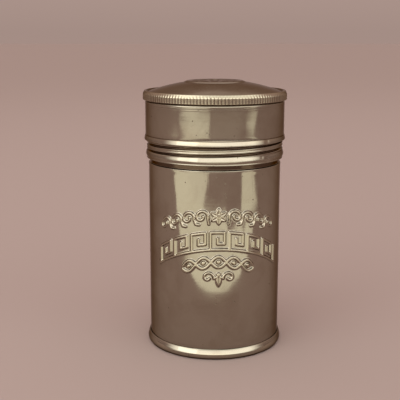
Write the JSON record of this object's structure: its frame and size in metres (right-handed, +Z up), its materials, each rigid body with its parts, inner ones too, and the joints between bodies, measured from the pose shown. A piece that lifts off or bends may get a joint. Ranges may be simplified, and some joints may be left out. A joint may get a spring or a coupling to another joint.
{
  "type": "shaving stick container",
  "caption": "Round nickel-plated metal container with a domed, knurled screw cap, holding a foil-wrapped stick of shaving soap.",
  "frame": {"origin": "centre of the ring that the container stands on, on the tube's axis", "axes": "+Z up along the tube's axis; the front, with the embossed ornament, faces -Y"},
  "size_m": [0.041, 0.041, 0.0769],
  "materials": {
    "nickel_tube": "polished",
    "nickel_cap": "polished",
    "cork": "matte",
    "waxed_paper": "satin",
    "soap": "satin",
    "tin_foil": "satin",
    "band_paper": "matte"
  },
  "bodies": {
    "container": {"body_tube": "nickel_tube", "base_plate": "nickel_tube"},
    "stick": {"soap_stick": "soap", "foil_wrap": "tin_foil", "paper_band": "band_paper"},
    "facing": {"paper_facing": "waxed_paper"},
    "liner": {"cork_liner": "cork"},
    "cap": {"cap_skirt": "nickel_cap", "cap_top": "nickel_cap"}
  },
  "joints": [
    {"name": "stick_lift", "type": "slide", "parent": "container", "child": "stick", "axis": [0, 0, 1], "range_m": [0, 0.075]},
    {"name": "cap_lift", "type": "slide", "parent": "stick", "child": "facing", "axis": [0, 0, 1], "range_m": [0, 0.06]},
    {"name": "cap_rise", "type": "slide", "parent": "facing", "child": "liner", "axis": [0, 0, 1], "range_m": [0, 0.00272]},
    {"name": "cap_turn", "type": "hinge", "parent": "liner", "child": "cap", "pos_m": [0, 0, 0.05872], "axis": [0, 0, 1], "range_deg": [0, 540]}
  ],
  "couplings": [
    {"joint": "cap_rise", "follows": "cap_turn", "m_per_rad": 0.00028807}
  ]
}
